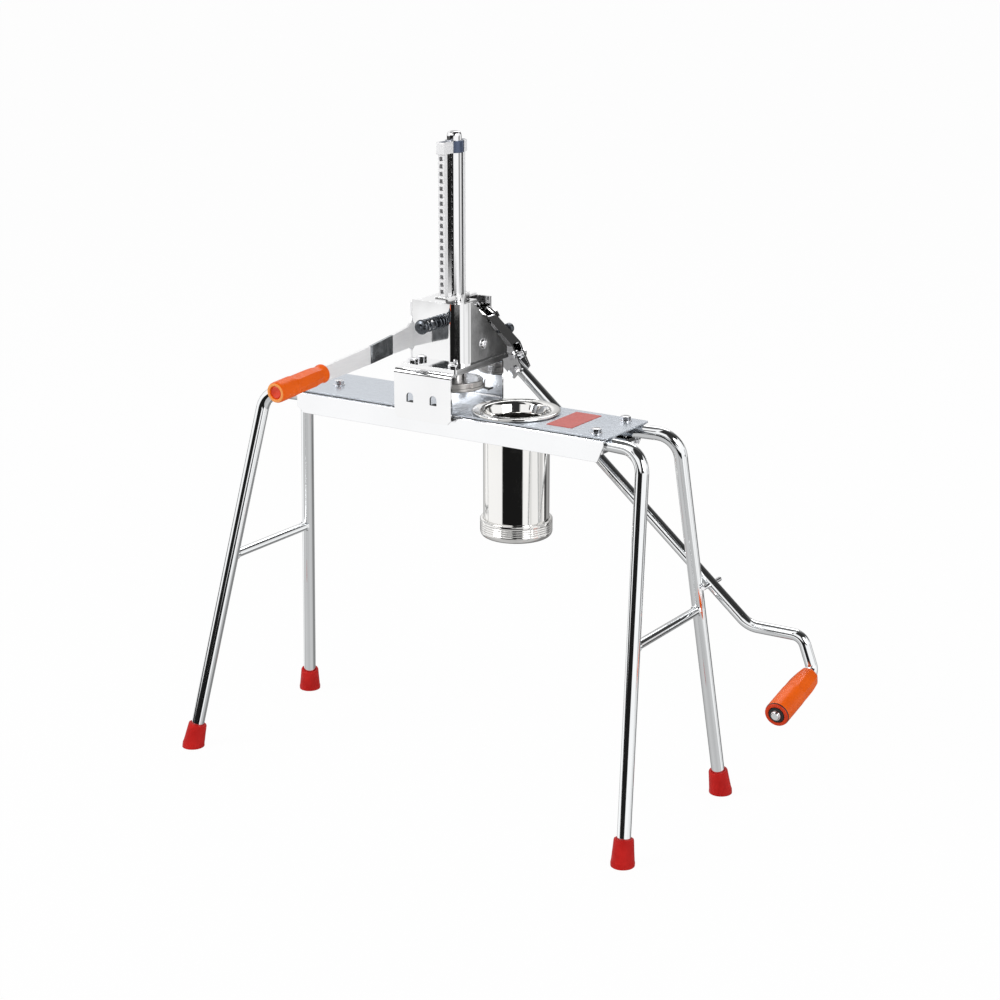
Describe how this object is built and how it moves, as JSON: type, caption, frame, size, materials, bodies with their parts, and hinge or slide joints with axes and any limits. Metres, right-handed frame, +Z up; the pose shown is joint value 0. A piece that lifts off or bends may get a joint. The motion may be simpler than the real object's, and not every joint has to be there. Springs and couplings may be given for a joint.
{
  "type": "pasta extruder with crank",
  "caption": "Bench-standing hand pasta press: sliding head with a ratchet ram and long cranked lever over a lift-out barrel with die, on splayed tube legs",
  "frame": {"origin": "middle of the footprint's bounding rectangle, on the floor plane under the feet", "axes": "+X along the bench toward the barrel end, +Y to the rear, away from the holding arm, +Z up"},
  "size_m": [0.7442, 0.3966, 0.743],
  "materials": {
    "bench_plate": "satin grey sheet",
    "side_rail_front": "bright chrome plated",
    "side_rail_rear": "bright chrome plated",
    "label_plate": "plain red film, no printing",
    "leg_fl": "bright chrome plated",
    "leg_fr": "bright chrome plated",
    "leg_rl": "bright chrome plated",
    "leg_rr": "bright chrome plated",
    "foot_fl": "red moulded rubber",
    "foot_fr": "red moulded rubber",
    "foot_rl": "red moulded rubber",
    "foot_rr": "red moulded rubber",
    "brace_left": "bright chrome plated",
    "brace_right": "bright chrome plated",
    "strap_left": "bright steel",
    "strap_right": "bright steel",
    "stand_bolt_front": "plated fastener",
    "stand_bolt_rear": "plated fastener",
    "stand_bolt_left": "plated fastener",
    "stand_nut_front": "plated fastener",
    "stand_nut_rear": "plated fastener",
    "stand_nut_left": "plated fastener",
    "barrel": "polished steel",
    "barrel_rim": "polished steel",
    "die_cap_ring": "polished steel",
    "die_plate": "turned bronze",
    "saddle": "mirror polished steel",
    "guide_strip_front": "bright steel",
    "guide_strip_rear": "bright steel",
    "base_plate": "mirror polished steel",
    "base_bolt_1": "plated fastener",
    "base_bolt_2": "plated fastener",
    "base_bolt_3": "plated fastener",
    "base_bolt_4": "plated fastener",
    "casing": "mirror polished steel",
    "side_bolt": "plated fastener",
    "top_plate": "bright steel",
    "ram_guide": "bright steel",
    "arm_plate": "mirror polished steel",
    "arm_grip": "orange moulded plastic",
    "grip_plug": "red moulded plastic",
    "rear_bracket": "bright steel",
    "pivot_bolt": "plated fastener",
    "pivot_nut": "plated fastener",
    "pin_bush": "bright steel",
    "holding_spring": "plain steel",
    "ram_rod": "mirror polished steel",
    "front_rack": "bright steel",
    "rear_rack": "bright steel",
    "top_clip": "bright steel",
    "piston": "turned",
    "holding_pin": "plain steel",
    "lever_head": "mirror polished steel",
    "socket_bolt_1": "plated fastener",
    "socket_bolt_2": "plated fastener",
    "lever_rod": "mirror polished steel",
    "cross_pin": "mirror polished steel",
    "grip_washer": "plated fastener",
    "lever_grip": "orange moulded plastic",
    "drive_pin": "plain steel"
  },
  "bodies": {
    "stand": {"bench_plate": "bench_plate", "side_rail_front": "side_rail_front", "side_rail_rear": "side_rail_rear", "label_plate": "label_plate", "leg_fl": "leg_fl", "leg_fr": "leg_fr", "leg_rl": "leg_rl", "leg_rr": "leg_rr", "foot_fl": "foot_fl", "foot_fr": "foot_fr", "foot_rl": "foot_rl", "foot_rr": "foot_rr", "brace_left": "brace_left", "brace_right": "brace_right", "strap_left": "strap_left", "strap_right": "strap_right", "stand_bolt_front": "stand_bolt_front", "stand_bolt_rear": "stand_bolt_rear", "stand_bolt_left": "stand_bolt_left", "stand_nut_front": "stand_nut_front", "stand_nut_rear": "stand_nut_rear", "stand_nut_left": "stand_nut_left"},
    "barrel": {"barrel": "barrel", "barrel_rim": "barrel_rim"},
    "die_cap": {"die_cap_ring": "die_cap_ring", "die_plate": "die_plate"},
    "head": {"saddle": "saddle", "guide_strip_front": "guide_strip_front", "guide_strip_rear": "guide_strip_rear", "base_plate": "base_plate", "base_bolt_1": "base_bolt_1", "base_bolt_2": "base_bolt_2", "base_bolt_3": "base_bolt_3", "base_bolt_4": "base_bolt_4", "casing": "casing", "side_bolt": "side_bolt", "top_plate": "top_plate", "ram_guide": "ram_guide", "arm_plate": "arm_plate", "arm_grip": "arm_grip", "grip_plug": "grip_plug", "rear_bracket": "rear_bracket", "pivot_bolt": "pivot_bolt", "pivot_nut": "pivot_nut", "pin_bush": "pin_bush", "holding_spring": "holding_spring"},
    "ram": {"ram_rod": "ram_rod", "front_rack": "front_rack", "rear_rack": "rear_rack", "top_clip": "top_clip", "piston": "piston"},
    "holding_pin": {"holding_pin": "holding_pin"},
    "lever": {"lever_head": "lever_head", "socket_bolt_1": "socket_bolt_1", "socket_bolt_2": "socket_bolt_2", "lever_rod": "lever_rod", "cross_pin": "cross_pin", "grip_washer": "grip_washer"},
    "lever_grip": {"lever_grip": "lever_grip"},
    "drive_pin": {"drive_pin": "drive_pin"}
  },
  "joints": [
    {"name": "head_slide", "type": "slide", "parent": "stand", "child": "head", "axis": [1, 0, 0], "range_m": [0, 0.08]},
    {"name": "ram_slide", "type": "slide", "parent": "head", "child": "ram", "axis": [0, 0, 1], "range_m": [-0.017, 0.008]},
    {"name": "lever_swing", "type": "hinge", "parent": "head", "child": "lever", "pos_m": [-0.06946, 0.15591, 0.51943], "axis": [0, -1, 0], "range_deg": [0, 110]},
    {"name": "lever_grip_spin", "type": "hinge", "parent": "lever", "child": "lever_grip", "pos_m": [0.3571, 0.10251, 0.1717], "axis": [0.035, -0.983, -0.18], "continuous": true},
    {"name": "drive_pin_slide", "type": "slide", "parent": "lever", "child": "drive_pin", "axis": [0, -1, 0], "range_m": [0, 0.0055]},
    {"name": "holding_pin_slide", "type": "slide", "parent": "head", "child": "holding_pin", "axis": [0, 1, 0], "range_m": [0, 0.0055], "stiffness_N_per_m": 300, "deforming": ["holding_spring"]},
    {"name": "barrel_lift", "type": "slide", "parent": "stand", "child": "barrel", "axis": [0, 0, -1], "range_m": [-0.11, 0]},
    {"name": "die_cap_turn", "type": "hinge", "parent": "barrel", "child": "die_cap", "pos_m": [0.028, 0.07192, 0.31], "axis": [0, 0, 1], "range_deg": [0, 90]}
  ]
}
